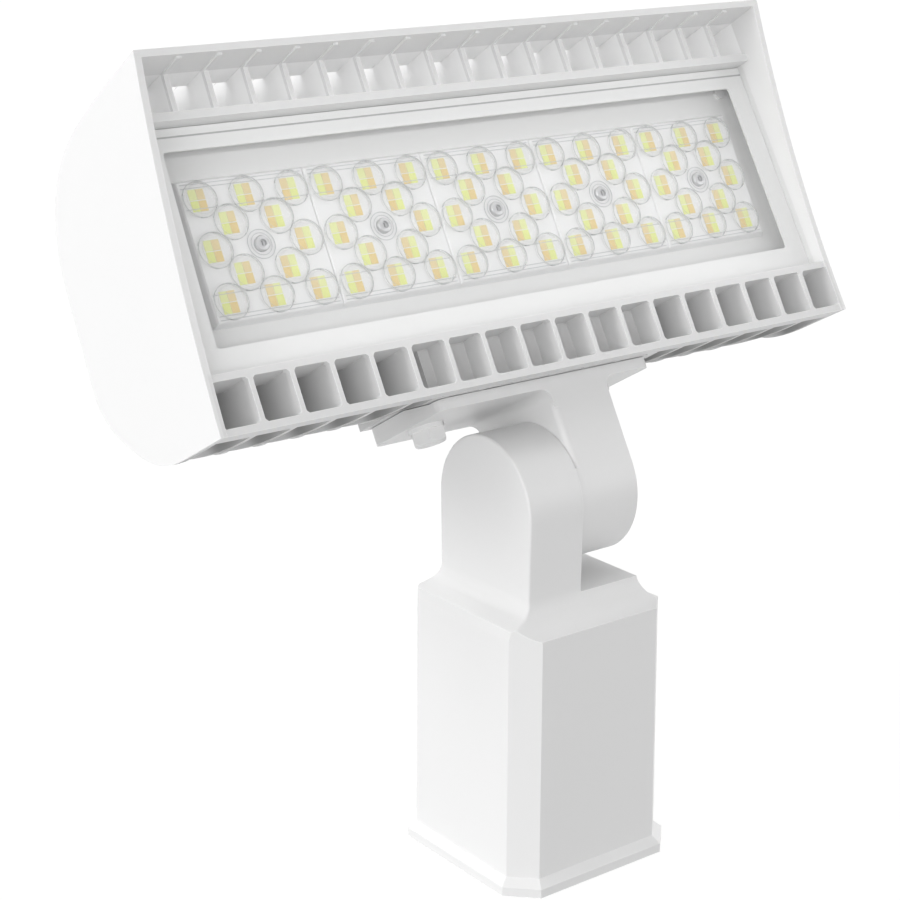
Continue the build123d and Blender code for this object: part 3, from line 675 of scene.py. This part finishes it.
def chip_blocks(finish):
    # two columns of two chips under each lens, where the lens shows them
    materials = [finish[key] for key in ("yellow", "orange", "yellow_low", "orange_low")]
    for side, name, slot in ((-1, "left", "chip_yellow"), (1, "right", "chip_orange")):
        points, faces = [], []
        for i in range(MODULES):
            for dx, u, row, k in lens_places():
                # the right-hand lenses and the lowest middle one show the two colours swapped
                swap = k > 0 or (row == -2 and k == 0)
                tone = 1 if (side > 0) != swap else 0
                x = module_x(i) + dx - CHIP_LEFT + side * CHIP_STEP_X / 2
                for v in (-1, 1):
                    cu = u + v * CHIP_STEP_U / 2
                    block(points, faces, x - CHIP_WIDE / 2, x + CHIP_WIDE / 2,
                          PLATE_FRONT - CHIP_T, PLATE_FRONT,
                          cu - CHIP_TALL / 2, cu + CHIP_TALL / 2, tone + (2 if v < 0 else 0))
        made = mesh_piece(f"chips_{name}", points, faces, materials)
        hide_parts(f"led_chips_{name}")


def module_screws(finish):
    # one screw in the boss of each module, with a dark mark of painted shade on the floor of its socket
    materials = [finish["screw"], finish["socket"]]
    steel, dark = range(len(materials))
    profile = [(r, PLATE_FRONT - rise) for r, rise in SCREW_PROFILE]
    points, faces = [], []
    for i in range(MODULES):
        x0 = module_x(i)
        turned(points, faces, x0, MODULE_U, profile, SCREW_SIDES, steel)
        block(points, faces, x0 - MARK_HALF_WIDE, x0 + MARK_HALF_WIDE,
              PLATE_FRONT - MARK_TOP, PLATE_FRONT - MARK_FOOT,
              MODULE_U - MARK_HALF_TALL, MODULE_U + MARK_HALF_TALL, dark)
    made = mesh_piece("module_screws", points, faces, materials)
    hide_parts("lens_screws")


def soft_lamp(name, azimuth, height, level):
    # broad soft lamp far off, azimuth 0 from -Y and 90 from +X
    a, e = math.radians(azimuth), math.radians(height)
    way = Vector((math.sin(a) * math.cos(e), -math.cos(a) * math.cos(e), math.sin(e)))
    data = bpy.data.lights.new(name, "SUN")
    data.angle = math.radians(LAMP_SPREAD)
    data.energy = math.pi * level
    lamp = bpy.data.objects.new(name, data)
    bpy.context.scene.collection.objects.link(lamp)
    lamp.rotation_euler = (-way).to_track_quat("-Z", "Y").to_euler()


def window_lamp():
    # broad lamp with a grid, square on to the window, so that little falls beside it
    data = bpy.data.lights.new("lamp_window", "AREA")
    data.shape = "RECTANGLE"
    data.size = WINDOW_LAMP_WIDE * MM
    data.size_y = WINDOW_LAMP_TALL * MM
    data.spread = math.radians(WINDOW_LAMP_SPREAD)
    data.energy = WINDOW_LAMP_WATTS
    lamp = bpy.data.objects.new("lamp_window", data)
    bpy.context.scene.collection.objects.link(lamp)
    lamp.location = from_head(0, -WINDOW_LAMP_AWAY, WINDOW_LAMP_U)
    lamp.rotation_euler = (math.radians(90.0) - TILT, 0, 0)
    lamp.visible_camera = False
    lamp.visible_glossy = False


def lights():
    for name, (azimuth, height, level) in LAMPS.items():
        soft_lamp(f"lamp_{name}", azimuth, height, level)
    window_lamp()


def sky():
    # white to the camera, shiny surfaces and glass, and no light to all else
    world = bpy.data.worlds.new("world")
    world.use_nodes = True
    bpy.context.scene.world = world
    graph = world.node_tree
    dark = graph.nodes["Background"]
    white = graph.nodes.new("ShaderNodeBackground")
    for ground, strength in ((dark, 0.0), (white, 1.0)):
        ground.inputs["Color"].default_value = (1, 1, 1, 1)
        ground.inputs["Strength"].default_value = strength
    shown = mixed(graph, looked_at(graph), dark.outputs["Background"], white.outputs["Background"])
    graph.links.new(shown, graph.nodes["World Output"].inputs["Surface"])


def floor():
    # white to the camera, glass and metal with a faint shadow, plain soft bounce to all else
    bpy.ops.mesh.primitive_plane_add(size=FLOOR_SIDE, location=(0, 0, size_before[0].z - FLOOR_DROP))
    plane = bpy.context.object
    plane.name = "floor"
    material, graph, out = bare_material("floor")
    matt = graph.nodes.new("ShaderNodeBsdfDiffuse")
    matt.inputs["Color"].default_value = (*grey(FLOOR_SHADOW), 1)
    shown = graph.nodes.new("ShaderNodeAddShader")
    graph.links.new(glow(graph, FLOOR_WHITE), shown.inputs[0])
    graph.links.new(matt.outputs["BSDF"], shown.inputs[1])
    whole = mixed(graph, looked_at(graph), glow(graph, FLOOR_BOUNCE), shown.outputs["Shader"])
    graph.links.new(whole, out.inputs["Surface"])
    plane.data.materials.append(material)


def camera():
    data = bpy.data.cameras.new("camera")
    data.lens = CAMERA_LENS
    data.sensor_width = CAMERA_SENSOR
    data.clip_start = CAMERA_NEAR
    data.clip_end = CAMERA_FAR
    made = bpy.data.objects.new("camera", data)
    bpy.context.scene.collection.objects.link(made)
    made.location = CAMERA_AT
    made.rotation_euler = [math.radians(a) for a in CAMERA_TURN]
    bpy.context.scene.camera = made


finish = finishes()
paint_nodes(finish)
lens_modules(finish)
chip_blocks(finish)
module_screws(finish)
lights()
sky()
floor()
camera()
bpy.context.scene.view_settings.view_transform = "Standard"
